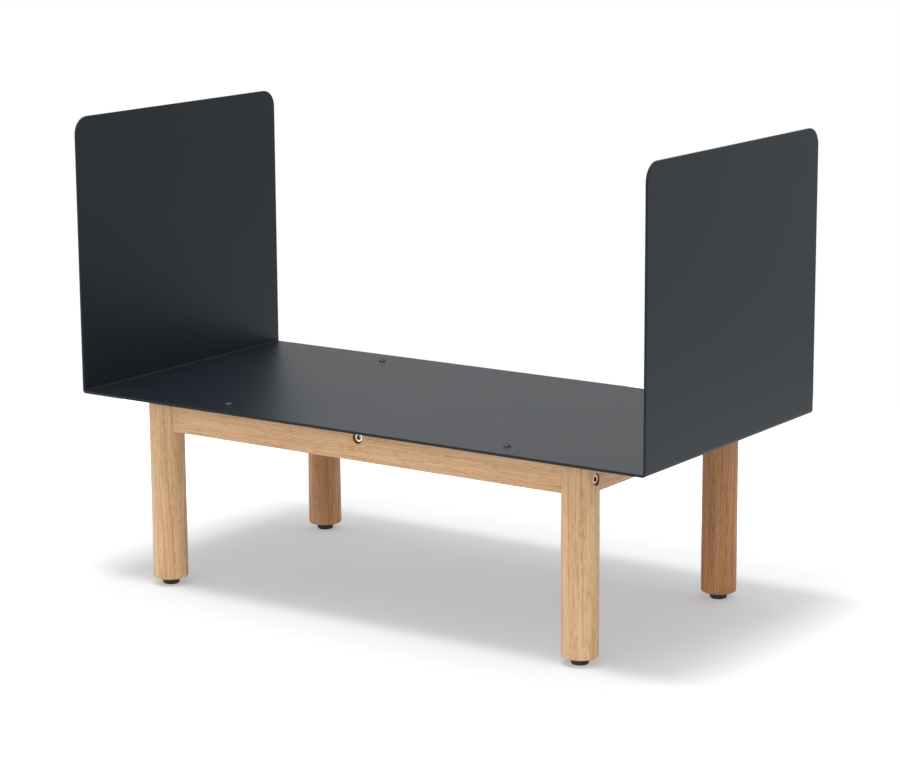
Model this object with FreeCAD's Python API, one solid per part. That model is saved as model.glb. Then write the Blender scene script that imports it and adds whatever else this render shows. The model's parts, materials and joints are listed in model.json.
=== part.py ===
import FreeCAD, Part
import math
import os

# Firewood log rack: a folded steel tray on a round-legged wooden frame with levelling feet.
# Millimetres. X runs along the tray, the front is -Y, Z is up, and the origin is on the floor
# under the middle of the tray.

# ---------------------------------------------------------------- driving dimensions

# Tray, one folded sheet
tray_length = 750.0
tray_depth = 360.0
tray_underside = 218.0          # height of the sheet's underside above the floor
panel_height = 317.0            # end panel's top edge above the sheet's underside
sheet = 3.0
bend_inner_radius = 1.2
panel_corner_radius = 20.0
sheet_edge_round = 0.5

# Wooden frame
leg_diameter = 40.0
leg_end_inset = 97.0            # leg axis in from the tray's end face
leg_side_inset = 33.0           # leg axis in from the tray's long edge
leg_foot_round = 2.0
rail_height = 36.0
rail_thickness = 20.0
rail_edge_round = 0.8

# M6 socket head bolts and the barrel nuts that they pull on
bolt_diameter = 6.0
bolt_head_diameter = 10.0
bolt_head_height = 6.0
bolt_head_round = 0.4
bolt_socket = 5.0               # across the flats
bolt_socket_depth = 3.0
bolt_tip_chamfer = 0.6
bolt_past_nut = 9.0             # bolt end beyond the nut's axis
bolt_hole_diameter = 6.8
bolt_hole_end_gap = 3.0
counterbore_diameter = 13.0
head_recess = 2.2               # top of the bolt head below the wood's surface
leg_bolt_length = 70.0
crossbar_bolt_length = 50.0
barrel_nut_diameter = 10.0
barrel_nut_length = 14.0
barrel_nut_chamfer = 0.4
barrel_nut_slot_width = 1.4
barrel_nut_slot_depth = 1.8

# Glued dowels
dowel_diameter = 8.0
dowel_length = 30.0
dowel_end_gap = 1.0
dowel_edge_distance = 7.5       # dowel axis from the edge of the rail
dowel_chamfer = 0.8
leg_web = 3.3                   # wood left between crossing dowels in a leg
crossbar_dowel_depth = 10.0     # dowel in the long rail

# Wood screws that hold the tray down on the long rails
tray_screw_spacing = 375.0      # along X
tray_screw_diameter = 3.5
tray_screw_hole_diameter = 3.8
tray_screw_length = 16.0
tray_screw_point = 3.0
tray_screw_head_diameter = 8.0
tray_screw_head_height = 2.6
tray_screw_head_rim = 0.6
tray_screw_cross_width = 0.9
tray_screw_cross_length = 4.2
tray_screw_cross_depth = 1.5

# Levelling feet
foot_height = 8.0
foot_diameter = 20.0
foot_collar_height = 5.2        # upper part of the moulded foot
foot_step = 0.35                # collar stands out beyond the pad by this
foot_pad_taper = 0.4            # pad's radius lost towards the floor
foot_pad_round = 0.9
foot_stud_diameter = 6.0
foot_stud_spare = 5.0           # stud that still shows above its insert at full travel
foot_stud_head = 10.0           # across the flats, moulded into the foot
foot_stud_head_height = 3.0
foot_stud_head_cover = 2.4      # plastic under the head
foot_insert_diameter = 10.0
foot_insert_length = 13.0
foot_stud_hole_diameter = 7.0
foot_travel = 8.0               # how far a foot screws out of its leg

# Fits
thread_clearance = 0.05         # radial, between a thread's plain cylinder and its nut
foot_hole_end_gap = 4.0

# For picking edges to round
pick_margin = 1.0               # an edge within this of a face belongs to it
pick_aligned = 0.99             # cosine above which two directions count as the same

# ---------------------------------------------------------------- worked out from those

leg_radius = leg_diameter / 2
leg_x = tray_length / 2 - leg_end_inset
leg_y = tray_depth / 2 - leg_side_inset
leg_seat = math.sqrt(leg_radius**2 - (rail_thickness / 2)**2)   # flat seat from the leg's axis
rail_bottom = tray_underside - rail_height
rail_middle = tray_underside - rail_height / 2
crossbar_middle = tray_underside - rail_thickness / 2
counterbore_depth = bolt_head_height + head_recess
dowel_offset = rail_height / 2 - dowel_edge_distance
leg_dowel_depth = leg_seat - dowel_diameter / 2 - leg_web
screw_x = tray_screw_spacing / 2
foot_stud_length = foot_insert_length + foot_travel + foot_stud_spare   # above the foot
panel_top = tray_underside + panel_height

X = FreeCAD.Vector(1, 0, 0)
Y = FreeCAD.Vector(0, 1, 0)
Z = FreeCAD.Vector(0, 0, 1)

CORNERS = {
    "front_left": (-1, -1),
    "front_right": (1, -1),
    "back_left": (-1, 1),
    "back_right": (1, 1),
}


# ---------------------------------------------------------------- shapes used more than once

def at(x, y, z):
    return FreeCAD.Vector(x, y, z)


def rod(diameter, length, start, direction):
    """A cylinder from start along direction."""
    return Part.makeCylinder(diameter / 2, length, start, direction)


def hexagon(across_flats, height, start, direction):
    """A hexagonal prism from start along direction."""
    corner = across_flats / math.sqrt(3)
    points = [at(corner * math.cos(math.radians(60 * i)), corner * math.sin(math.radians(60 * i)), 0)
              for i in range(7)]
    prism = Part.Face(Part.makePolygon(points)).extrude(at(0, 0, height))
    prism.Placement = FreeCAD.Placement(start, FreeCAD.Rotation(Z, direction))
    return prism


def edges_along(shape, direction):
    """The straight edges that run along direction."""
    found = []
    for edge in shape.Edges:
        if isinstance(edge.Curve, Part.Line) and abs(edge.Curve.Direction.dot(direction)) > pick_aligned:
            found.append(edge)
    return found


def bar(size_x, size_y, size_z, centre, grain):
    """A rectangular bar with eased long edges; grain is the direction it is long in."""
    corner = centre - at(size_x / 2, size_y / 2, size_z / 2)
    block = Part.makeBox(size_x, size_y, size_z, corner)
    return block.makeFillet(rail_edge_round, edges_along(block, grain))


def group(solids):
    """Separate solids kept together as one node."""
    return Part.makeCompound(solids)


def save(name, shape):
    shape.exportStep("parts/" + name + ".step")


# ---------------------------------------------------------------- hardware

def socket_bolt(length, seat, inward):
    """Socket head bolt with the underside of its head at seat, its shank running inward."""
    head_top = seat - inward * bolt_head_height
    head = rod(bolt_head_diameter, bolt_head_height, head_top, inward)
    head = head.makeFillet(bolt_head_round, [edge for edge in head.Edges if edge.Closed])
    shank = rod(bolt_diameter, length, seat, inward)
    tip = seat + inward * length
    ends = [edge for edge in shank.Edges
            if edge.Closed and edge.BoundBox.Center.distanceToPoint(tip) < pick_margin]
    shank = shank.makeChamfer(bolt_tip_chamfer, ends)
    bolt = head.fuse(shank).removeSplitter()
    return bolt.cut(hexagon(bolt_socket, bolt_socket_depth, head_top, inward))


def barrel_nut(centre, axis, bolt_direction):
    """Barrel nut lying along axis, crossed by the bolt, with a turning slot in its +axis end."""
    nut = rod(barrel_nut_diameter, barrel_nut_length, centre - axis * (barrel_nut_length / 2), axis)
    nut = nut.makeChamfer(barrel_nut_chamfer, [edge for edge in nut.Edges if edge.Closed])
    cross = bolt_diameter + 2 * thread_clearance
    nut = nut.cut(rod(cross, 2 * barrel_nut_diameter, centre - bolt_direction * barrel_nut_diameter,
                      bolt_direction))
    slot_centre = centre + axis * (barrel_nut_length / 2)
    reach = bolt_direction * barrel_nut_diameter
    side = axis.cross(bolt_direction) * barrel_nut_slot_width
    depth = axis * (2 * barrel_nut_slot_depth)
    size = [abs(reach[i]) + abs(side[i]) + abs(depth[i]) for i in range(3)]
    slot = Part.makeBox(size[0], size[1], size[2], slot_centre - at(size[0], size[1], size[2]) * 0.5)
    return nut.cut(slot)


def dowel(start, direction):
    """Glued wooden dowel from start along direction."""
    pin = rod(dowel_diameter, dowel_length, start, direction)
    return pin.makeChamfer(dowel_chamfer, [edge for edge in pin.Edges if edge.Closed])


# ---------------------------------------------------------------- where the hardware lies

def leg_bolt_seat(side_x, side_y):
    """Where the head of a leg's bolt bears, in the leg's outer end."""
    return at(side_x * (leg_x + leg_radius - counterbore_depth), side_y * leg_y, rail_middle)


def leg_nut_centre(side_x, side_y):
    return leg_bolt_seat(side_x, side_y) - X * side_x * (leg_bolt_length - bolt_past_nut)


def crossbar_bolt_seat(side_y):
    """Where the head of a crossbar bolt bears, in the long rail's outer face."""
    return at(0, side_y * (leg_y + rail_thickness / 2 - counterbore_depth), crossbar_middle)


def crossbar_nut_centre(side_y):
    return crossbar_bolt_seat(side_y) - Y * side_y * (crossbar_bolt_length - bolt_past_nut)


def long_rail_dowel_starts(side_x, side_y):
    """Inner ends, in the leg, of the dowels of one long-rail joint."""
    x = side_x * (leg_x - leg_seat + leg_dowel_depth)
    return [at(x, side_y * leg_y, rail_middle + lift) for lift in (-dowel_offset, dowel_offset)]


def end_rail_dowel_starts(side_x, side_y):
    """Inner ends, in the leg, of the dowels of one end-rail joint."""
    y = side_y * (leg_y - leg_seat + leg_dowel_depth)
    return [at(side_x * leg_x, y, rail_middle + lift) for lift in (-dowel_offset, dowel_offset)]


def crossbar_dowel_starts(side_y):
    """Ends, in the long rail, of the dowels of one crossbar joint."""
    y = side_y * (leg_y - rail_thickness / 2 + crossbar_dowel_depth)
    return [at(shift, y, crossbar_middle) for shift in (-dowel_offset, dowel_offset)]


def dowel_hole(start, direction):
    """The hole that a dowel fills, with room for glue past both its ends."""
    return rod(dowel_diameter, dowel_length + 2 * dowel_end_gap, start - direction * dowel_end_gap,
               direction)


def bolt_hole(length, seat, inward):
    """Clearance hole for a bolt's shank, from under its head to past its end."""
    return rod(bolt_hole_diameter, length + bolt_hole_end_gap, seat, inward)


def counterbore(seat, outward):
    return rod(counterbore_diameter, counterbore_depth + leg_radius, seat, outward)


# ---------------------------------------------------------------- wooden frame

def make_leg(side_x, side_y):
    """Round leg with two flat rail seats, a bolt hole, dowel holes and the foot's bore."""
    axis_foot = at(side_x * leg_x, side_y * leg_y, foot_height)
    leg = rod(leg_diameter, tray_underside - foot_height, axis_foot, Z)
    foot_edge = [edge for edge in leg.Edges
                 if edge.Closed and edge.BoundBox.ZMax < foot_height + pick_margin]
    leg = leg.makeFillet(leg_foot_round, foot_edge)

    seat_depth = leg_radius - leg_seat
    seat_half = rail_thickness / 2
    top = at(side_x * leg_x, side_y * leg_y, rail_bottom)
    long_seat = Part.makeBox(seat_depth, rail_thickness, rail_height, top)
    long_seat.translate(at(-side_x * (leg_seat + seat_depth / 2) - seat_depth / 2, -seat_half, 0))
    end_seat = Part.makeBox(rail_thickness, seat_depth, rail_height, top)
    end_seat.translate(at(-seat_half, -side_y * (leg_seat + seat_depth / 2) - seat_depth / 2, 0))

    bolt_seat = leg_bolt_seat(side_x, side_y)
    cutters = [long_seat, end_seat]
    cutters.append(counterbore(bolt_seat, X * side_x))
    cutters.append(bolt_hole(leg_bolt_length, bolt_seat, X * -side_x))
    for start in long_rail_dowel_starts(side_x, side_y):
        cutters.append(dowel_hole(start, X * -side_x))
    for start in end_rail_dowel_starts(side_x, side_y):
        cutters.append(dowel_hole(start, Y * -side_y))
    cutters.append(rod(foot_insert_diameter, foot_insert_length, axis_foot, Z))
    cutters.append(rod(foot_stud_hole_diameter, foot_stud_length + foot_hole_end_gap, axis_foot, Z))
    return leg.cut(cutters)


def make_long_rail(side_y):
    """Front or back rail, seated on the flats of two legs."""
    length = 2 * (leg_x - leg_seat)
    rail = bar(length, rail_thickness, rail_height, at(0, side_y * leg_y, rail_middle), X)
    cutters = []
    for side_x in (-1, 1):
        cutters.append(bolt_hole(leg_bolt_length, leg_bolt_seat(side_x, side_y), X * -side_x))
        nut = leg_nut_centre(side_x, side_y)
        nut_end = nut + Y * side_y * (barrel_nut_length / 2)
        cutters.append(rod(barrel_nut_diameter, rail_thickness, nut_end, Y * -side_y))
        for start in long_rail_dowel_starts(side_x, side_y):
            cutters.append(dowel_hole(start, X * -side_x))
        cutters.append(tray_screw_shank(side_x, side_y))
    seat = crossbar_bolt_seat(side_y)
    cutters.append(counterbore(seat, Y * side_y))
    cutters.append(bolt_hole(crossbar_bolt_length, seat, Y * -side_y))
    for start in crossbar_dowel_starts(side_y):
        cutters.append(dowel_hole(start, Y * -side_y))
    return rail.cut(cutters)


def make_end_rail(side_x):
    """Short rail that the front and back leg of one end are doweled and glued to."""
    length = 2 * (leg_y - leg_seat)
    rail = bar(rail_thickness, length, rail_height, at(side_x * leg_x, 0, rail_middle), Y)
    cutters = []
    for side_y in (-1, 1):
        for start in end_rail_dowel_starts(side_x, side_y):
            cutters.append(dowel_hole(start, Y * -side_y))
    return rail.cut(cutters)


def make_crossbar():
    """Middle bar from long rail to long rail, the rail stock laid flat under the tray."""
    length = 2 * leg_y - rail_thickness
    crossbar = bar(rail_height, length, rail_thickness, at(0, 0, crossbar_middle), Y)
    cutters = []
    for side_y in (-1, 1):
        cutters.append(bolt_hole(crossbar_bolt_length, crossbar_bolt_seat(side_y), Y * -side_y))
        nut_end = crossbar_nut_centre(side_y) + Z * (barrel_nut_length / 2)
        cutters.append(rod(barrel_nut_diameter, rail_thickness, nut_end, Z * -1))
        for start in crossbar_dowel_starts(side_y):
            cutters.append(dowel_hole(start, Y * -side_y))
    return crossbar.cut(cutters)


# ---------------------------------------------------------------- tray

def make_tray():
    """Floor and two end panels folded from one sheet, with four screw holes in the floor."""
    half = tray_length / 2
    bend_outer_radius = bend_inner_radius + sheet
    outer = Part.makeBox(tray_length, tray_depth, panel_height,
                         at(-half, -tray_depth / 2, tray_underside))
    folds = [edge for edge in edges_along(outer, Y)
             if edge.BoundBox.ZMax < tray_underside + pick_margin]
    outer = outer.makeFillet(bend_outer_radius, folds)
    inner = Part.makeBox(tray_length - 2 * sheet, tray_depth, panel_height,
                         at(-half + sheet, -tray_depth / 2, tray_underside + sheet))
    folds = [edge for edge in edges_along(inner, Y)
             if edge.BoundBox.ZMax < tray_underside + sheet + pick_margin]
    inner = inner.makeFillet(bend_inner_radius, folds)
    tray = outer.cut(inner)

    top_corners = [edge for edge in edges_along(tray, X)
                   if edge.BoundBox.ZMin > panel_top - pick_margin and edge.Length < 2 * sheet]
    tray = tray.makeFillet(panel_corner_radius, top_corners)

    rims = []
    for edge in tray.Edges:
        middle = edge.valueAt((edge.FirstParameter + edge.LastParameter) / 2)
        tangent = edge.tangentAt(edge.FirstParameter)
        at_top = middle.z > panel_top - pick_margin
        on_rim = at_top or abs(middle.y) > tray_depth / 2 - panel_corner_radius
        crosses_sheet = edge.Length < 2 * sheet and abs(tangent.x) > pick_aligned
        along_fold = abs(tangent.y) > pick_aligned and not at_top
        if on_rim and not crosses_sheet and not along_fold:
            rims.append(edge)
    tray = tray.makeFillet(sheet_edge_round, rims)

    for side_x in (-1, 1):
        for side_y in (-1, 1):
            start = at(side_x * screw_x, side_y * leg_y, tray_underside - sheet)
            tray = tray.cut(rod(tray_screw_hole_diameter, 3 * sheet, start, Z))
    return tray


def tray_screw_shank(side_x, side_y):
    """Plain cylinder and point that stand for a tray screw's thread, from under its head down."""
    seat = at(side_x * screw_x, side_y * leg_y, tray_underside + sheet)
    straight = tray_screw_length - tray_screw_point
    shank = rod(tray_screw_diameter, straight, seat, Z * -1)
    point = Part.makeCone(tray_screw_diameter / 2, 0, tray_screw_point, seat - Z * straight, Z * -1)
    return shank.fuse(point)


def tray_screw(side_x, side_y):
    """Low domed wood screw with a cross recess, its head seated on the tray's floor."""
    seat = at(side_x * screw_x, side_y * leg_y, tray_underside + sheet)
    radius = tray_screw_head_diameter / 2
    rim = tray_screw_head_rim
    top = tray_screw_head_height
    dome_rise = top - rim
    dome_radius = (radius**2 + dome_rise**2) / (2 * dome_rise)
    half_way = math.asin(radius / dome_radius) / 2
    dome = Part.Arc(at(radius, 0, rim),
                    at(dome_radius * math.sin(half_way), 0,
                       top - dome_radius * (1 - math.cos(half_way))),
                    at(0, 0, top)).toShape()
    outline = Part.Wire([
        Part.makeLine(at(0, 0, 0), at(radius, 0, 0)),
        Part.makeLine(at(radius, 0, 0), at(radius, 0, rim)),
        dome,
        Part.makeLine(at(0, 0, top), at(0, 0, 0)),
    ])
    head = Part.Face(outline).revolve(at(0, 0, 0), Z, 360)
    head.translate(seat)
    screw = head.fuse(tray_screw_shank(side_x, side_y))
    long, wide = tray_screw_cross_length, tray_screw_cross_width
    for size_x, size_y in ((long, wide), (wide, long)):
        corner = seat + at(-size_x / 2, -size_y / 2, top - tray_screw_cross_depth)
        screw = screw.cut(Part.makeBox(size_x, size_y, tray_screw_cross_depth + rim, corner))
    return screw


# ---------------------------------------------------------------- levelling feet

def make_foot_insert(side_x, side_y):
    """Threaded insert flush in the leg's end."""
    mouth = at(side_x * leg_x, side_y * leg_y, foot_height)
    sleeve = rod(foot_insert_diameter, foot_insert_length, mouth, Z)
    return sleeve.cut(rod(foot_stud_diameter + 2 * thread_clearance, foot_insert_length, mouth, Z))


def make_foot_stud(side_x, side_y):
    """Steel stud whose hexagonal head is moulded into the foot."""
    head_foot = at(side_x * leg_x, side_y * leg_y, foot_stud_head_cover)
    head = hexagon(foot_stud_head, foot_stud_head_height, head_foot, Z)
    shank_length = foot_height + foot_stud_length - foot_stud_head_cover
    shank = rod(foot_stud_diameter, shank_length, head_foot, Z)
    tip = [edge for edge in shank.Edges if edge.Closed and edge.BoundBox.ZMin > foot_height]
    shank = shank.makeChamfer(bolt_tip_chamfer, tip)
    return head.fuse(shank)


def make_foot_base(side_x, side_y):
    """Moulded foot: a collar under the leg, and a slightly tapered pad on the floor."""
    collar = foot_diameter / 2
    collar_bottom = foot_height - foot_collar_height
    pad_top = collar - foot_step
    pad_bottom = pad_top - foot_pad_taper
    corner = foot_pad_round
    arc = Part.Arc(at(pad_bottom, 0, corner),
                   at(pad_bottom - corner * (1 - math.cos(math.pi / 4)), 0,
                      corner * (1 - math.sin(math.pi / 4))),
                   at(pad_bottom - corner, 0, 0)).toShape()
    outline = Part.Wire([
        Part.makeLine(at(0, 0, foot_height), at(collar, 0, foot_height)),
        Part.makeLine(at(collar, 0, foot_height), at(collar, 0, collar_bottom)),
        Part.makeLine(at(collar, 0, collar_bottom), at(pad_top, 0, collar_bottom - foot_step)),
        Part.makeLine(at(pad_top, 0, collar_bottom - foot_step), at(pad_bottom, 0, corner)),
        arc,
        Part.makeLine(at(pad_bottom - corner, 0, 0), at(0, 0, 0)),
        Part.makeLine(at(0, 0, 0), at(0, 0, foot_height)),
    ])
    base = Part.Face(outline).revolve(at(0, 0, 0), Z, 360)
    base.translate(at(side_x * leg_x, side_y * leg_y, 0))
    return base.cut(make_foot_stud(side_x, side_y))


# ---------------------------------------------------------------- the assembly

def main():
    os.makedirs("parts", exist_ok=True)
    save("tray", make_tray())
    save("front_rail", make_long_rail(-1))
    save("back_rail", make_long_rail(1))
    save("left_end_rail", make_end_rail(-1))
    save("right_end_rail", make_end_rail(1))
    save("centre_crossbar", make_crossbar())

    leg_bolts = []
    leg_nuts = []
    long_rail_dowels = []
    end_rail_dowels = []
    tray_screws = []
    foot_inserts = []
    for corner, (side_x, side_y) in CORNERS.items():
        save(corner + "_leg", make_leg(side_x, side_y))
        save(corner + "_foot_base", make_foot_base(side_x, side_y))
        save(corner + "_foot_stud", make_foot_stud(side_x, side_y))
        inward_x = X * -side_x
        inward_y = Y * -side_y
        leg_bolts.append(socket_bolt(leg_bolt_length, leg_bolt_seat(side_x, side_y), inward_x))
        leg_nuts.append(barrel_nut(leg_nut_centre(side_x, side_y), inward_y, inward_x))
        long_rail_dowels += [dowel(start, inward_x) for start in long_rail_dowel_starts(side_x, side_y)]
        end_rail_dowels += [dowel(start, inward_y) for start in end_rail_dowel_starts(side_x, side_y)]
        tray_screws.append(tray_screw(side_x, side_y))
        foot_inserts.append(make_foot_insert(side_x, side_y))

    crossbar_bolts = []
    crossbar_nuts = []
    crossbar_dowels = []
    for side_y in (-1, 1):
        inward = Y * -side_y
        crossbar_bolts.append(socket_bolt(crossbar_bolt_length, crossbar_bolt_seat(side_y), inward))
        crossbar_nuts.append(barrel_nut(crossbar_nut_centre(side_y), Z * -1, inward))
        crossbar_dowels += [dowel(start, inward) for start in crossbar_dowel_starts(side_y)]

    save("leg_bolts", group(leg_bolts))
    save("leg_barrel_nuts", group(leg_nuts))
    save("long_rail_dowels", group(long_rail_dowels))
    save("end_rail_dowels", group(end_rail_dowels))
    save("crossbar_bolts", group(crossbar_bolts))
    save("crossbar_barrel_nuts", group(crossbar_nuts))
    save("crossbar_dowels", group(crossbar_dowels))
    save("tray_screws", group(tray_screws))
    save("foot_inserts", group(foot_inserts))


main()
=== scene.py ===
import json
import math

import bmesh
import bpy
from mathutils import Matrix, Vector

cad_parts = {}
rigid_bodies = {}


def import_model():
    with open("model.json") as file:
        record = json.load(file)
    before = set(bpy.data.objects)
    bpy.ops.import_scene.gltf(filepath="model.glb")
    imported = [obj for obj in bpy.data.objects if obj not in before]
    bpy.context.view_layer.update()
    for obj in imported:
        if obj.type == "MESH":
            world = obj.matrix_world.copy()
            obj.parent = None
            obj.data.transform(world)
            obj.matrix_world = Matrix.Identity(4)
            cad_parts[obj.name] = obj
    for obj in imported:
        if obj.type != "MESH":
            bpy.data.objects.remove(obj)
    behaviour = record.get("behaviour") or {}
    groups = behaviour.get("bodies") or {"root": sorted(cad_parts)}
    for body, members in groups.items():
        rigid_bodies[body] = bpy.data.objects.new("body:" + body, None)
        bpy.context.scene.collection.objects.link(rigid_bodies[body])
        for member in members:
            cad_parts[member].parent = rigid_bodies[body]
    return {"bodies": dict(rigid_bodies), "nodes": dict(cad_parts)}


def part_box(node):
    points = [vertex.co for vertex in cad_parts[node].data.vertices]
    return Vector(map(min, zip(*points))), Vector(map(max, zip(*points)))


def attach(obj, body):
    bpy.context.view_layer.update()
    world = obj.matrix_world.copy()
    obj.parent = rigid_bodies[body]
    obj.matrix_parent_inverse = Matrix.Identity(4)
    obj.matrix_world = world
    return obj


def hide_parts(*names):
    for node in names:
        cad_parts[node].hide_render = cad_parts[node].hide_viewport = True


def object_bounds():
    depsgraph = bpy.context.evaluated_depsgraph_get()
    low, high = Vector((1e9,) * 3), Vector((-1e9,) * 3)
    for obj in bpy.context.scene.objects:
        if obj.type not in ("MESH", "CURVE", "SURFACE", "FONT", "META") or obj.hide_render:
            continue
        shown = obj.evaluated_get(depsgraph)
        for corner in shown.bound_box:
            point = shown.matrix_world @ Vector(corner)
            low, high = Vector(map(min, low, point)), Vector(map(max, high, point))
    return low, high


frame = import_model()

# Looks of a firewood log rack: a black powder-coated tray on a pale wooden frame.
# Metres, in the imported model's frame: X along the tray, -Y is the front, Z is up.

cad_low, cad_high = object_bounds()
MM = 0.001                      # a millimetre, in metres


# ---------------------------------------------------------------- node graphs

class Graph:
    """Short calls that add nodes to a material or world and link them."""

    def __init__(self, tree):
        self.tree = tree
        tree.nodes.clear()

    def add(self, kind, **settings):
        node = self.tree.nodes.new(kind)
        for key, value in settings.items():
            setattr(node, key, value)
        return node

    def put(self, socket, value):
        if isinstance(value, bpy.types.NodeSocket):
            self.tree.links.new(value, socket)
        else:
            socket.default_value = value

    def math(self, operation, a, b=0.0, clamp=False):
        node = self.add("ShaderNodeMath", operation=operation, use_clamp=clamp)
        self.put(node.inputs[0], a)
        self.put(node.inputs[1], b)
        return node.outputs[0]

    def vector(self, operation, a, b=(0, 0, 0)):
        node = self.add("ShaderNodeVectorMath", operation=operation)
        self.put(node.inputs[0], a)
        self.put(node.inputs[1], b)
        return node.outputs["Value" if operation in ("LENGTH", "DOT_PRODUCT") else "Vector"]

    def split(self, vector):
        node = self.add("ShaderNodeSeparateXYZ")
        self.put(node.inputs[0], vector)
        return node.outputs

    def join(self, x, y, z):
        node = self.add("ShaderNodeCombineXYZ")
        for socket, value in zip(node.inputs, (x, y, z)):
            self.put(socket, value)
        return node.outputs[0]

    def spread(self, value, low, high, to_low=0.0, to_high=1.0, smooth=False):
        """value's stretch from low to high, laid out from to_low to to_high and held at both ends."""
        node = self.add("ShaderNodeMapRange", clamp=True)
        if smooth:
            node.interpolation_type = "SMOOTHSTEP"
        for name, number in (("Value", value), ("From Min", low), ("From Max", high),
                             ("To Min", to_low), ("To Max", to_high)):
            self.put(node.inputs[name], number)
        return node.outputs["Result"]

    def noise(self, where, stretch, detail=2.0, output="Fac"):
        """Noise at a place in millimetres; stretch is how many waves fit in a millimetre along each axis."""
        node = self.add("ShaderNodeTexNoise", noise_dimensions="3D")
        self.put(node.inputs["Vector"], self.vector("MULTIPLY", where, stretch))
        self.put(node.inputs["Scale"], 1.0)
        self.put(node.inputs["Detail"], detail)
        return node.outputs[output]

    def mix(self, factor, a, b, blend="MIX"):
        node = self.add("ShaderNodeMix", data_type="RGBA", blend_type=blend)
        self.put(node.inputs["Factor"], factor)
        self.put(node.inputs["A"], a)
        self.put(node.inputs["B"], b)
        return node.outputs["Result"]

    def bump(self, height, depth):
        """A surface that rises by depth, in metres, as height goes from 0 to 1."""
        node = self.add("ShaderNodeBump")
        self.put(node.inputs["Strength"], 1.0)
        self.put(node.inputs["Distance"], depth)
        self.put(node.inputs["Height"], height)
        return node.outputs["Normal"]

    def millimetres(self, origin=(0, 0, 0)):
        """The place on the piece in millimetres from origin, a point in metres."""
        moved = self.vector("SUBTRACT", self.add("ShaderNodeTexCoord").outputs["Object"], origin)
        return self.vector("MULTIPLY", moved, (1 / MM, 1 / MM, 1 / MM))

    def surface(self, **sockets):
        """The Principled shader and the output; names are the shader's sockets with _ for a space."""
        shader = self.add("ShaderNodeBsdfPrincipled")
        for name, value in sockets.items():
            self.put(shader.inputs[name.replace("_", " ")], value)
        output = self.add("ShaderNodeOutputMaterial")
        self.put(output.inputs["Surface"], shader.outputs[0])


def new_material(name):
    material = bpy.data.materials.new(name)
    material.use_nodes = True
    return material, Graph(material.node_tree)


# ---------------------------------------------------------------- wood

WOOD_LIGHT = (0.690, 0.452, 0.248, 1)
WOOD_DARK = (0.500, 0.268, 0.112, 1)
WOOD_PALE = (0.790, 0.560, 0.345, 1)
WOOD_STREAK = (0.415, 0.185, 0.058, 1)
WOOD_PORE = (0.270, 0.095, 0.026, 1)
WOOD_RED = (0.650, 0.352, 0.180, 1)
WOOD_DEEP_AND_SHADED = (0.617, 0.419, 0.276, 1)   # multiplies the colour of a darker, redder leg: partly its own tone, partly painted shade from the tray above it
# Painted shade on the walls of the bolts' counterbores
WOOD_BORE_SHADE = (0.330, 0.135, 0.048, 1)
RING_SPACING = 4.2              # mm
PITH_AWAY = 58.0                # mm from the piece's axis to the middle of the tree
COUNTERBORE_RADIUS = 6.5        # mm
AXES = {"X": (1, 2, 0), "Y": (2, 0, 1), "Z": (0, 1, 2)}     # across, across, along the grain


def growth_rings(g, timber, offset, seed):
    """How strongly the dark late wood shows, 0 to 1, in rings about a pith that lies outside the piece."""
    bend = g.vector("SUBTRACT", g.noise(timber, (0.030, 0.030, 0.0035), 2.0, "Color"), (0.5, 0.5, 0.5))
    bent = g.vector("ADD", timber, g.vector("MULTIPLY", bend, (30, 30, 0)))
    pith_angle = 2.4 * seed + 0.7
    pith = (offset[0] + PITH_AWAY * math.cos(pith_angle), offset[1] + PITH_AWAY * math.sin(pith_angle), 0)
    radial = g.vector("MULTIPLY", g.vector("SUBTRACT", bent, pith), (1, 1, 0))
    ring = g.math("DIVIDE", g.vector("LENGTH", radial), RING_SPACING)
    within = g.math("FRACT", ring)
    number = g.add("ShaderNodeTexWhiteNoise", noise_dimensions="1D")
    g.put(number.inputs["W"], g.math("FLOOR", ring))
    rise = g.spread(within, 0.25, 0.92, smooth=True)
    fall = g.spread(within, 0.92, 1.0, 1.0, 0.0)
    strength = g.spread(number.outputs["Value"], 0, 1, 0.15, 1.0)
    return g.math("MULTIPLY", g.math("MULTIPLY", rise, fall), strength)


def shaded_bore(g, colour, from_bore, across):
    """colour, with painted shade on the wall of a bolt's counterbore; across leaves out the bore's own axis.
    """
    from_axis = g.vector("LENGTH", g.vector("MULTIPLY", from_bore, across))
    bore_shade = g.spread(from_axis, COUNTERBORE_RADIUS + 0.05, COUNTERBORE_RADIUS + 0.35, 0.9, 0.0)
    return g.mix(bore_shade, colour, WOOD_BORE_SHADE)


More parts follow.
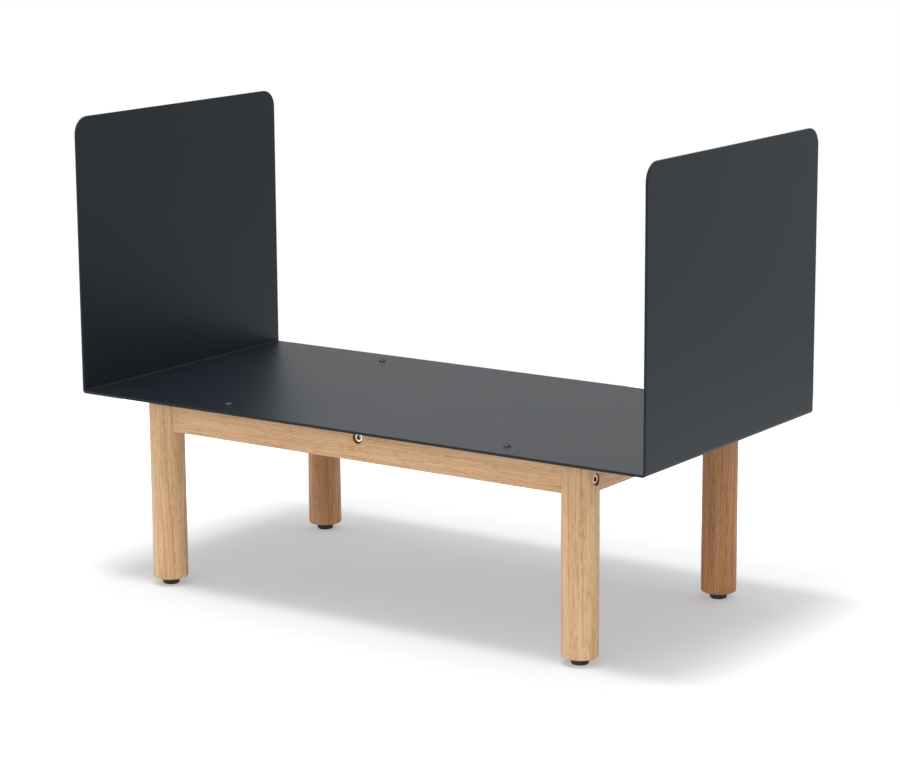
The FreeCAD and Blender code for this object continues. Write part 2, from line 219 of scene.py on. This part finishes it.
def wood(name, node, grain, seed, red=0.0, deep=0.0, figure=1.0, bores=()):
    """Clear-lacquered straight-grained wood; its rings, pores and streaks run on into the end grain.

    red shifts its colour; deep darkens and reddens it, partly as its own tone and partly as painted shade,
    and figure is how strongly its rings, streaks and pores show.
    bores holds (point, axis) for each bolt's counterbore, whose wall gets painted shade.
    """
    material, g = new_material(name)
    centre = middle_of(node)
    place = g.millimetres(centre)
    parts = g.split(place)
    across_1, across_2, along = (parts[i] for i in AXES[grain])
    offset = (17.3 * seed, -9.1 * seed, 41.7 * seed)
    timber = g.vector("ADD", g.join(across_1, across_2, along), offset)

    late = growth_rings(g, timber, offset, seed)

    # Broad bands, fibres, pale and dark streaks and short dark pores, all long in the grain's direction
    band = g.noise(timber, (0.085, 0.085, 0.0045), 2.0)
    fibre = g.noise(timber, (1.10, 1.10, 0.012), 3.0)
    pale = g.spread(g.noise(timber, (0.30, 0.30, 0.0055), 2.0), 0.50, 0.70)
    streak = g.spread(g.noise(timber, (0.80, 0.80, 0.017), 2.0), 0.56, 0.72)
    pore_crowd = g.noise(timber, (0.16, 0.16, 0.010), 1.0)
    pore_noise = g.noise(timber, (1.75, 1.75, 0.085), 1.0)
    pore = g.spread(g.math("ADD", pore_noise, g.math("MULTIPLY", pore_crowd, 0.40)), 0.77, 0.88)
    fine_pore = g.spread(g.noise(timber, (3.2, 3.2, 0.16), 0.0), 0.56, 0.70)

    dark = g.math("ADD", g.math("MULTIPLY", late, 0.50 * figure), g.spread(band, 0.32, 0.68, -0.12, 0.42))
    dark = g.math("ADD", dark, g.spread(fibre, 0.33, 0.67, -0.30, 0.42), clamp=True)
    colour = g.mix(dark, WOOD_LIGHT, WOOD_DARK)
    colour = g.mix(g.math("MULTIPLY", pale, 0.55), colour, WOOD_PALE)
    blush = g.spread(g.noise(timber, (0.045, 0.045, 0.006), 1.0), 0.35, 0.7, red * 0.5, red)
    colour = g.mix(blush, colour, WOOD_RED)
    # Darker, redder back legs: partly their own tone, partly painted shade from the tray above them
    colour = g.mix(deep, colour, WOOD_DEEP_AND_SHADED, "MULTIPLY")
    colour = g.mix(g.math("MULTIPLY", streak, 0.42 * figure), colour, WOOD_STREAK)
    colour = g.mix(g.math("MULTIPLY", fine_pore, 0.20 * figure), colour, WOOD_PORE)
    colour = g.mix(g.math("MULTIPLY", pore, 0.48 * figure), colour, WOOD_PORE)

    # Cut ends soak up more lacquer and look darker; the walls of the counterbores get painted shade
    facing = g.split(g.add("ShaderNodeTexCoord").outputs["Normal"])[AXES[grain][2]]
    shade = g.spread(g.math("ABSOLUTE", facing), 0.6, 0.95, 1.0, 0.72)
    colour = g.mix(1.0, colour, g.join(shade, shade, shade), "MULTIPLY")
    for point, axis in bores:
        across = Vector((1, 1, 1))
        across[axis] = 0
        from_bore = g.vector("SUBTRACT", place, (point - centre) / MM)
        colour = shaded_bore(g, colour, from_bore, across)

    rough = g.spread(fibre, 0.3, 0.7, 0.48, 0.60)
    hollow = g.math("ADD", g.math("MULTIPLY", pore, -0.7), g.math("MULTIPLY", fibre, 0.3))
    g.surface(Base_Color=colour, Roughness=rough, IOR=1.45, Coat_Weight=0.08, Coat_Roughness=0.35,
              Normal=g.bump(hollow, 0.05 * MM))
    return material


# ---------------------------------------------------------------- painted sheet, metals, plastic

def powder_coat():
    """Satin black powder coat with a fine orange-peel texture."""
    material, g = new_material("powder_coat")
    place = g.millimetres()
    cloud = g.noise(place, (0.012, 0.012, 0.012), 3.0)
    peel = g.noise(place, (0.42, 0.42, 0.42), 2.0)
    grit = g.noise(place, (1.9, 1.9, 1.9), 1.0)
    colour = g.mix(g.spread(cloud, 0.3, 0.7), (0.0053, 0.0098, 0.0145, 1), (0.0067, 0.0116, 0.0165, 1))
    speck = g.spread(grit, 0.62, 0.80)
    colour = g.mix(g.math("MULTIPLY", speck, 0.35), colour, (0.024, 0.031, 0.038, 1))
    rough = g.math("ADD", g.spread(cloud, 0.3, 0.7, 0.413, 0.427), g.math("MULTIPLY", grit, 0.03))
    height = g.math("ADD", g.math("MULTIPLY", peel, 0.7), g.math("MULTIPLY", grit, 0.3))
    g.surface(Base_Color=colour, Roughness=rough, IOR=1.28, Normal=g.bump(height, 0.02 * MM))
    return material


METALS = {                      # colour, duller colour, roughness and fine marks in a millimetre
    "nickel_plate": ((0.76, 0.67, 0.58, 1), (0.62, 0.53, 0.44, 1), 0.26, 1.6),
    # A darker, browner copy of nickel_plate for the leg bolts: painted shade and a painted reflection of the
    # wood round their heads
    "shaded_nickel_plate": ((0.60, 0.46, 0.33, 1), (0.46, 0.33, 0.22, 1), 0.38, 1.6),
    # Dark steel for the inside of the bolts' sockets: painted shade in the recess
    "shaded_socket_steel": ((0.16, 0.145, 0.125, 1), (0.10, 0.09, 0.08, 1), 0.42, 1.6),
    "zinc_plate": ((0.66, 0.67, 0.69, 1), (0.52, 0.53, 0.56, 1), 0.30, 1.2),
    "brass": ((0.75, 0.56, 0.27, 1), (0.60, 0.42, 0.18, 1), 0.30, 1.4),
}


def metal(name):
    """Plated or turned metal, dull in patches."""
    colour, dull, rough, mark = METALS[name]
    material, g = new_material(name)
    place = g.millimetres()
    marks = g.noise(place, (mark, mark, mark), 2.0)
    film = g.noise(place, (0.25, 0.25, 0.25), 2.0)
    tint = g.mix(g.spread(film, 0.35, 0.7), colour, dull)
    finish = g.math("ADD", g.spread(marks, 0.3, 0.7, rough - 0.05, rough + 0.07),
                    g.math("MULTIPLY", film, 0.05))
    g.surface(Base_Color=tint, Metallic=1.0, Roughness=finish, Normal=g.bump(marks, 0.004 * MM))
    return material


def black_steel():
    """Black-oxide steel of the tray's screws."""
    material, g = new_material("black_steel")
    place = g.millimetres()
    marks = g.noise(place, (2.2, 2.2, 2.2), 2.0)
    colour = g.mix(marks, (0.012, 0.012, 0.013, 1), (0.030, 0.030, 0.032, 1))
    g.surface(Base_Color=colour, Roughness=g.spread(marks, 0.3, 0.7, 0.36, 0.48), IOR=1.45,
              Normal=g.bump(marks, 0.006 * MM))
    return material


def foot_plastic():
    """Moulded black nylon with a fine matt grain."""
    material, g = new_material("foot_plastic")
    place = g.millimetres()
    grain = g.noise(place, (2.6, 2.6, 2.6), 3.0)
    flow = g.noise(place, (0.12, 0.12, 0.5), 2.0)
    colour = g.mix(g.spread(flow, 0.3, 0.7), (0.005, 0.005, 0.005, 1), (0.010, 0.010, 0.010, 1))
    g.surface(Base_Color=colour, Roughness=g.spread(grain, 0.3, 0.7, 0.42, 0.56), IOR=1.5,
              Normal=g.bump(grain, 0.015 * MM))
    return material


# ---------------------------------------------------------------- threaded hardware

# Sizes in millimetres
BOLT = dict(head=10.0, head_height=6.0, head_round=0.4, ridges=24, ridge_depth=0.22, ridge_margin=0.4,
            socket=5.0, socket_depth=3.0, socket_taper=0.1, socket_mouth=0.25, socket_chamfer=0.2,
            drill_depth=0.9, drill_point=0.4, shank=6.0, pitch=1.0, thread_depth=0.61, thread_length=24.0,
            tip=0.6)
STUD = dict(hexagon=10.0, hexagon_height=3.0, shank=6.0, pitch=1.0, thread_depth=0.61, tip=0.6)
ROWS_PER_PITCH = 5
ROUND_STEPS = 4                 # in the quarter circle of a bolt head's edge
SEGMENTS = 72                   # vertices in a row
SHARP_EDGE = math.radians(32)

# A row is a function that gives the radius at an angle.

def round_row(radius):
    return lambda angle: radius


def hexagon_row(across_flats):
    def at_angle(angle):
        sixth = math.pi / 3
        return across_flats / 2 / math.cos((angle % sixth) - sixth / 2)
    return at_angle


def ridged_row(radius, ridges, depth):
    """Upright V ridges side by side, as on a knurled head."""
    def at_angle(angle):
        across = angle * ridges / (2 * math.pi) % 1
        return radius - depth * abs(2 * across - 1)
    return at_angle


def thread_row(radius, depth, pitch, height):
    """A right-handed V thread cut by a plane at that height."""
    def at_angle(angle):
        across = (height / pitch - angle / (2 * math.pi)) % 1
        return radius - depth * (1 - abs(2 * across - 1))
    return at_angle


def thread(rows, start, length, shank, pitch, depth, tip):
    """Adds a thread's rows from start on, fading in over a turn and out into a chamfered tip."""
    steps = round(length / pitch * ROWS_PER_PITCH)
    for i in range(steps + 1):
        along = length * i / steps
        deep = depth * min(1, along / pitch)
        radius = shank / 2 - max(0, tip - (length - along))
        cut = thread_row(shank / 2, deep, pitch, along)
        rows.append((start + along, lambda angle, cut=cut, radius=radius: min(cut(angle), radius)))


def turned(rows, inner_bands=0):
    """A closed mesh about Z from rows of (height, radius at an angle), in millimetres.

    The first inner_bands bands of faces and the cap before them take the second material.
    """
    mesh = bmesh.new()
    rings = []
    for height, radius in rows:
        ring = []
        for i in range(SEGMENTS):
            angle = 2 * math.pi * i / SEGMENTS
            out = radius(angle)
            place = Vector((out * math.cos(angle), out * math.sin(angle), height)) * MM
            ring.append(mesh.verts.new(place))
        rings.append(ring)
    for band, (ring, following) in enumerate(zip(rings, rings[1:])):
        for i in range(SEGMENTS):
            j = (i + 1) % SEGMENTS
            face = mesh.faces.new((ring[i], ring[j], following[j], following[i]))
            face.material_index = 1 if band < inner_bands else 0
    mesh.faces.new(rings[0][::-1]).material_index = 1 if inner_bands else 0
    mesh.faces.new(rings[-1])
    bmesh.ops.recalc_face_normals(mesh, faces=mesh.faces)
    return mesh


def bolt_rows(length):
    """Socket head bolt: socket, knurled head, plain shank, thread. Height 0 is the head's top."""
    b = BOLT
    # The socket, from its drilled point out to its chamfered mouth
    rows = [(b["socket_depth"] + b["drill_depth"], round_row(b["drill_point"])),
            (b["socket_depth"], hexagon_row(b["socket"] - b["socket_taper"])),
            (b["socket_mouth"], hexagon_row(b["socket"])),
            (0.0, hexagon_row(b["socket"] + 2 * b["socket_chamfer"]))]
    # The head's rounded edge, its ridged side and its flat underside
    for i in range(ROUND_STEPS + 1):
        turn = math.pi / 2 * i / ROUND_STEPS
        rows.append((b["head_round"] * (1 - math.cos(turn)),
                     round_row(b["head"] / 2 - b["head_round"] * (1 - math.sin(turn)))))
    ridge = ridged_row(b["head"] / 2, b["ridges"], b["ridge_depth"])
    rows.append((b["head_round"] + b["ridge_margin"], ridge))
    rows.append((b["head_height"] - b["ridge_margin"], ridge))
    rows.append((b["head_height"], round_row(b["head"] / 2 - b["ridge_margin"])))
    rows.append((b["head_height"], round_row(b["shank"] / 2)))
    thread(rows, b["head_height"] + length - b["thread_length"], b["thread_length"], b["shank"], b["pitch"],
           b["thread_depth"], b["tip"])
    return rows


def stud_rows(length):
    """Hexagonal head, then a fully threaded stud. Height 0 is the head's underside."""
    s = STUD
    rows = [(0.0, hexagon_row(s["hexagon"])), (s["hexagon_height"], hexagon_row(s["hexagon"])),
            (s["hexagon_height"], round_row(s["shank"] / 2))]
    thread(rows, s["hexagon_height"], length - s["hexagon_height"], s["shank"], s["pitch"],
           s["thread_depth"], s["tip"])
    return rows


def loose_parts(node):
    """The box of each separate solid in a CAD node."""
    mesh = bmesh.new()
    mesh.from_mesh(frame["nodes"][node].data)
    bmesh.ops.remove_doubles(mesh, verts=mesh.verts, dist=0.001 * MM)
    waiting = set(mesh.verts)
    boxes = []
    while waiting:
        part = [waiting.pop()]
        for vertex in part:
            for edge in vertex.link_edges:
                other = edge.other_vert(vertex)
                if other in waiting:
                    waiting.remove(other)
                    part.append(other)
        low = Vector([min(v.co[i] for v in part) for i in range(3)])
        high = Vector([max(v.co[i] for v in part) for i in range(3)])
        boxes.append((low, high))
    mesh.free()
    return sorted(boxes, key=lambda box: tuple(round(x, 4) for x in box[0]))


def piece_from(name, meshes, body, node, materials):
    """One named piece that stands for a CAD node, made of meshes already in place."""
    whole = bmesh.new()
    for mesh in meshes:
        part = bpy.data.meshes.new("part")
        mesh.to_mesh(part)
        mesh.free()
        whole.from_mesh(part)
        bpy.data.meshes.remove(part)
    data = bpy.data.meshes.new(name)
    whole.to_mesh(data)
    whole.free()
    data.shade_smooth()
    data.set_sharp_from_angle(angle=SHARP_EDGE)
    for material in materials:
        data.materials.append(material)
    piece = bpy.data.objects.new(name, data)
    bpy.context.scene.collection.objects.link(piece)
    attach(piece, body)
    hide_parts(node)


def threaded_bolts(node, axis, materials):
    """The bolts of one CAD node, lying along axis 0 or 1 with their heads outwards."""
    meshes = []
    for low, high in loose_parts(node):
        middle = (low + high) / 2
        outward = 1 if middle[axis] > 0 else -1
        head_top = middle.copy()
        head_top[axis] = high[axis] if outward > 0 else low[axis]
        inward = Vector((0, 0, 0))
        inward[axis] = -outward
        length = (high[axis] - low[axis]) / MM - BOLT["head_height"]
        mesh = turned(bolt_rows(length), inner_bands=2)
        turn = Vector((0, 0, 1)).rotation_difference(inward).to_matrix().to_4x4()
        mesh.transform(Matrix.Translation(head_top) @ turn)
        meshes.append(mesh)
    piece_from(node + "_threaded", meshes, "rack", node, materials)


def threaded_stud(corner, material):
    """The stud of one foot, its head down in the foot and its thread up in the leg."""
    node = corner + "_foot_stud"
    low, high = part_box(node)
    mesh = turned(stud_rows((high.z - low.z) / MM))
    middle = middle_of(node)
    mesh.transform(Matrix.Translation((middle.x, middle.y, low.z)))
    piece_from(node + "_threaded", [mesh], corner + "_foot", node, [material])


# ---------------------------------------------------------------- the rack

CORNERS = ("front_left", "front_right", "back_left", "back_right")
LEG_TONES_AND_SHADE = {                   # how deep its colour is, partly painted shade from the tray, and how strong its figure
    "front_left": (0.0, 1.0),
    "front_right": (0.0, 1.0),
    "back_left": (0.70, 1.5),
    "back_right": (0.86, 1.9),
}


def counterbore_of(node, axis, near):
    """The (point, axis) of the bolt of that node that lies nearest to a point."""
    middles = [(low + high) / 2 for low, high in loose_parts(node)]
    return min(middles, key=lambda middle: (middle - near).length), axis


def middle_of(node):
    """The middle of a CAD node's box."""
    low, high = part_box(node)
    return (low + high) / 2


def paint(node, material):
    """Gives a CAD node that material alone."""
    slots = frame["nodes"][node].data.materials
    slots.clear()
    slots.append(material)


def dress_rack():
    """Gives every node its material, and the bolts and studs their threads."""
    metals = {name: metal(name) for name in METALS}
    plastic = foot_plastic()

    paint("tray", powder_coat())
    for seed, corner in enumerate(CORNERS):
        leg = corner + "_leg"
        bore = counterbore_of("leg_bolts", 0, middle_of(leg))
        deep, figure = LEG_TONES_AND_SHADE[corner]
        paint(leg, wood("wood_" + leg, leg, "Z", seed + 1, deep=deep, figure=figure, bores=[bore]))
        paint(corner + "_foot_base", plastic)
        threaded_stud(corner, metals["zinc_plate"])
    for seed, rail in enumerate(("front_rail", "back_rail")):
        bore = counterbore_of("crossbar_bolts", 1, middle_of(rail))
        paint(rail, wood("wood_" + rail, rail, "X", seed + 6, red=0.40, bores=[bore]))
    for seed, rail in enumerate(("left_end_rail", "right_end_rail", "centre_crossbar")):
        paint(rail, wood("wood_" + rail, rail, "Y", seed + 8, red=0.05))
    for seed, (node, grain) in enumerate((("long_rail_dowels", "X"), ("end_rail_dowels", "Y"),
                                          ("crossbar_dowels", "Y"))):
        paint(node, wood("wood_" + node, node, grain, seed + 12))
    # The leg bolts' heads take painted shade and a painted reflection of the wood
    threaded_bolts("leg_bolts", 0, [metals["shaded_nickel_plate"], metals["shaded_socket_steel"]])
    # The sockets of these bolts and of the leg bolts take painted shade
    threaded_bolts("crossbar_bolts", 1, [metals["nickel_plate"], metals["shaded_socket_steel"]])
    paint("leg_barrel_nuts", metals["zinc_plate"])
    paint("crossbar_barrel_nuts", metals["zinc_plate"])
    paint("foot_inserts", metals["brass"])
    paint("tray_screws", black_steel())


# ---------------------------------------------------------------- floor, light and camera

FLOOR_RADIUS = 1.15             # m
FLOOR_COLOUR = (0.590, 0.605, 0.621, 1)
FLOOR_LIFT = 0.285              # light that the floor adds of its own
# The floor shows its shadows in full on a patch under the rack, and fades to plain white round it
PATCH_PAST_ENDS = -0.035        # m past the rack's ends, so the patch stops a little short of them
PATCH_PAST_SIDES = 0.10         # m past its front and back
PATCH_FADE = 0.26               # m, the width of the border in which it fades
SKY_BRIGHT = 0.60               # level of the light from the right and above
SKY_DIM = 0.06                  # and from opposite
BRIGHT_SIDE = Vector((0.40, 0.10, 0.90)).normalized()
LAMPS = (                       # name, place, width and height in m, and level
    ("key_above", (-0.20, -0.52, 3.5), 1.3, 0.5, 0.52),
    ("box_above", (0.0, -0.15, 3.5), 2.6, 2.4, 0.26),
    ("box_left", (-3.2, -1.1, 1.1), 4.0, 2.2, 0.28),
    ("box_front", (0.6, -3.2, 1.1), 4.0, 2.2, 0.33),
    ("box_right", (3.2, 0.3, 0.9), 3.0, 1.6, 0.10),
)


def seen_rays(g):
    """1 for rays that show what is there: straight from the camera, off a shiny surface or through glass."""
    path = g.add("ShaderNodeLightPath").outputs
    seen = g.math("ADD", path["Is Camera Ray"], path["Is Transmission Ray"])
    return g.math("ADD", seen, path["Is Glossy Ray"], clamp=True)


def floor_paper():
    """White paper that shows shadows on its patch and is plain white round it."""
    material, g = new_material("floor")
    seen = seen_rays(g)
    place = g.vector("ABSOLUTE", g.add("ShaderNodeTexCoord").outputs["Object"])
    patch = (cad_high.x + PATCH_PAST_ENDS, cad_high.y + PATCH_PAST_SIDES, 0)
    outside = g.vector("LENGTH", g.vector("MAXIMUM", g.vector("SUBTRACT", place, patch)))
    white = g.math("MULTIPLY", seen, g.spread(outside, 0.0, PATCH_FADE, smooth=True))
    glow = g.add("ShaderNodeEmission")
    g.put(glow.inputs["Color"], (1, 1, 1, 1))
    g.put(glow.inputs["Strength"], g.spread(white, 0, 1, FLOOR_LIFT, 1.0))
    paper = g.add("ShaderNodeBsdfDiffuse")
    g.put(paper.inputs["Color"], FLOOR_COLOUR)
    both = g.add("ShaderNodeAddShader")
    g.put(both.inputs[0], paper.outputs[0])
    g.put(both.inputs[1], glow.outputs[0])

    # From below the floor is clear, so that the underside can be looked at
    clear = g.add("ShaderNodeBsdfTransparent")
    path = g.add("ShaderNodeLightPath").outputs
    below = g.math("MULTIPLY", g.add("ShaderNodeNewGeometry").outputs["Backfacing"], path["Is Camera Ray"])
    either = g.add("ShaderNodeMixShader")
    g.put(either.inputs[0], below)
    g.put(either.inputs[1], both.outputs[0])
    g.put(either.inputs[2], clear.outputs[0])
    g.put(g.add("ShaderNodeOutputMaterial").inputs["Surface"], either.outputs[0])
    return material


def make_floor():
    """A disc of paper that stays under the lowest foot, since the feet are screwed out downwards."""
    mesh = bmesh.new()
    bmesh.ops.create_circle(mesh, cap_ends=True, segments=128, radius=FLOOR_RADIUS)
    data = bpy.data.meshes.new("floor")
    mesh.to_mesh(data)
    mesh.free()
    data.materials.append(floor_paper())
    floor = bpy.data.objects.new("floor", data)
    floor.location.z = cad_low.z
    bpy.context.scene.collection.objects.link(floor)
    for corner in CORNERS:
        under = floor.constraints.new("FLOOR")
        under.target = frame["bodies"][corner + "_foot"]
        under.floor_location = "FLOOR_NEGATIVE_Z"
        under.offset = cad_low.z


def make_world():
    """Soft light from all round, brighter from above, and a white background where it is seen."""
    world = bpy.data.worlds.new("studio")
    world.use_nodes = True
    bpy.context.scene.world = world
    g = Graph(world.node_tree)
    seen = seen_rays(g)
    direction = g.add("ShaderNodeTexCoord").outputs["Generated"]
    side = g.vector("DOT_PRODUCT", direction, BRIGHT_SIDE)
    level = g.spread(side, -1, 1, SKY_DIM, SKY_BRIGHT, smooth=True)
    sky = g.add("ShaderNodeBackground")
    g.put(sky.inputs["Color"], (1, 1, 1, 1))
    g.put(sky.inputs["Strength"], g.math("MAXIMUM", level, seen))
    g.put(g.add("ShaderNodeOutputWorld").inputs["Surface"], sky.outputs[0])


def make_lamp(name, place, width, height, level, target):
    """A soft box that would light a surface facing it at target to about that level."""
    data = bpy.data.lights.new(name, "AREA")
    data.shape = "RECTANGLE"
    data.size = width
    data.size_y = height
    away = Vector(place) - target
    # In watts. A flat lamp and a matt surface each spread their light over pi steradians
    data.energy = level * math.pi**2 * away.length_squared
    lamp = bpy.data.objects.new(name, data)
    lamp.location = place
    lamp.rotation_mode = "QUATERNION"
    lamp.rotation_quaternion = away.to_track_quat("Z", "Y")
    lamp.visible_camera = False
    bpy.context.scene.collection.objects.link(lamp)


SENSOR_WIDTH = 36.0             # mm
LENS = 111.6                    # mm
AZIMUTH = 34.748                # degrees round from the front to the right
PITCH = 11.869                  # degrees down
ROLL = -0.354                   # degrees
DISTANCE = 3.130                # m
AIM_FROM_CENTRE = Vector((0.0121, 0.0017, -0.0260))     # m


def make_camera():
    """The photo's viewpoint, given by where it aims and by the way and the distance back from there."""
    data = bpy.data.cameras.new("camera")
    data.lens = LENS
    data.sensor_width = SENSOR_WIDTH
    camera = bpy.data.objects.new("camera", data)
    camera.matrix_world = (Matrix.Translation((cad_low + cad_high) / 2 + AIM_FROM_CENTRE)
                           @ Matrix.Rotation(math.radians(AZIMUTH), 4, "Z")
                           @ Matrix.Rotation(math.radians(90 - PITCH), 4, "X")
                           @ Matrix.Rotation(math.radians(ROLL), 4, "Z")
                           @ Matrix.Translation((0, 0, DISTANCE)))
    bpy.context.scene.collection.objects.link(camera)
    bpy.context.scene.camera = camera


dress_rack()
make_floor()
make_world()
for lamp in LAMPS:
    make_lamp(*lamp, target=(cad_low + cad_high) / 2)
make_camera()
bpy.context.scene.view_settings.view_transform = "Standard"
